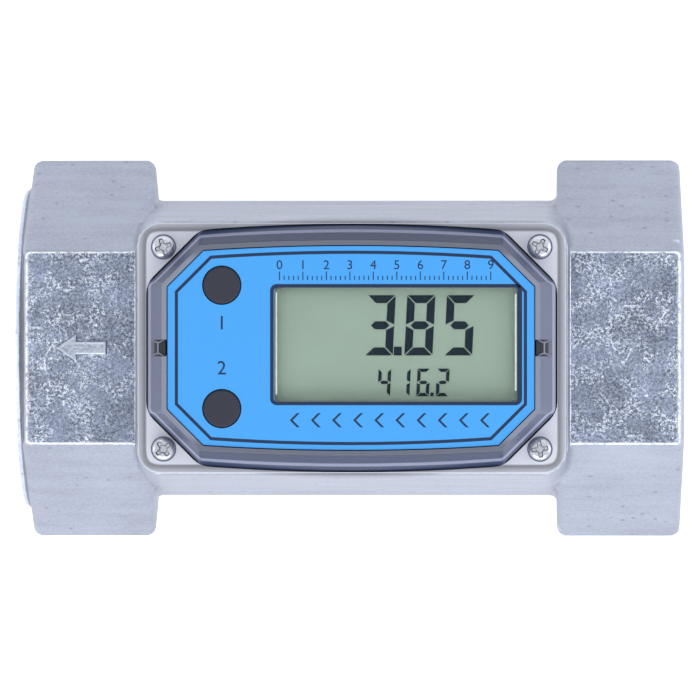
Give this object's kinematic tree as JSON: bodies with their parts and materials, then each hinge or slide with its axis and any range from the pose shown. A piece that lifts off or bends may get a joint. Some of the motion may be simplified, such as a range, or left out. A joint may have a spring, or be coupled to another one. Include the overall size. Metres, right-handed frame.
{
  "type": "digital turbine flow meter",
  "caption": "In-line turbine flow meter: hexagonal female threaded ports, bladed rotor on a fixed shaft, and a clear-cased battery display with push keys on top.",
  "frame": {"origin": "centre of the bounding box's underside, on the plane of the ports' back flats", "axes": "+X along the flow axis towards the inlet, against the arrow; +Z out of the display"},
  "size_m": [0.1446, 0.0832, 0.0881],
  "materials": {
    "cast_aluminium": "as cast, ground front flats",
    "clear_case": "smoky clear plastic, polished",
    "screw_steel": "bright zinc plated",
    "blue_label": "printed film, semi gloss",
    "key_rubber": "matt",
    "dark_plastic": "moulded, matt",
    "lcd_glass": "reflective liquid crystal cell",
    "strip_rubber": "layered elastomer",
    "board_laminate": "solder mask",
    "chip_epoxy": "moulded epoxy",
    "switch_metal": "stamped",
    "cell_jacket": "shrink sleeve",
    "contact_metal": "nickel plated",
    "bobbin_plastic": "moulded, matt",
    "copper_wire": "enamelled wire",
    "support_plastic": "moulded, matt",
    "rotor_plastic": "moulded, satin",
    "shaft_steel": "ground",
    "bush_ceramic": "polished ceramic",
    "magnet_ferrite": "pressed ferrite",
    "ring_steel": "spring steel",
    "seal_rubber": "matt"
  },
  "bodies": {
    "meter": {"body_casting": "cast_aluminium", "inlet_support": "support_plastic", "outlet_support": "support_plastic", "rotor_shaft": "shaft_steel", "thrust_washers": "bush_ceramic", "retaining_rings": "ring_steel", "case_seal": "seal_rubber", "electronics_case": "clear_case", "cover_screws": "screw_steel", "face_label": "blue_label", "display_frame": "dark_plastic", "lcd_glass": "lcd_glass", "contact_strips": "strip_rubber", "circuit_board": "board_laminate", "controller_chip": "chip_epoxy", "key_switches": "switch_metal", "battery_tray": "dark_plastic", "battery_cells": "cell_jacket", "battery_contacts": "contact_metal", "pickup_bobbin": "bobbin_plastic", "pickup_winding": "copper_wire"},
    "turbine": {"rotor": "rotor_plastic", "rotor_bushes": "bush_ceramic", "rotor_magnets": "magnet_ferrite"},
    "upper_button": {"upper_key": "key_rubber"},
    "lower_button": {"lower_key": "key_rubber"}
  },
  "joints": [
    {"name": "rotor_spin", "type": "hinge", "parent": "meter", "child": "turbine", "pos_m": [0.00075, 0, 0.036], "axis": [1, 0, 0], "continuous": true},
    {"name": "upper_key_press", "type": "slide", "parent": "meter", "child": "upper_button", "axis": [0, 0, -1], "range_m": [0, 0.0008], "stiffness_N_per_m": 2500},
    {"name": "lower_key_press", "type": "slide", "parent": "meter", "child": "lower_button", "axis": [0, 0, -1], "range_m": [0, 0.0008], "stiffness_N_per_m": 2500}
  ]
}
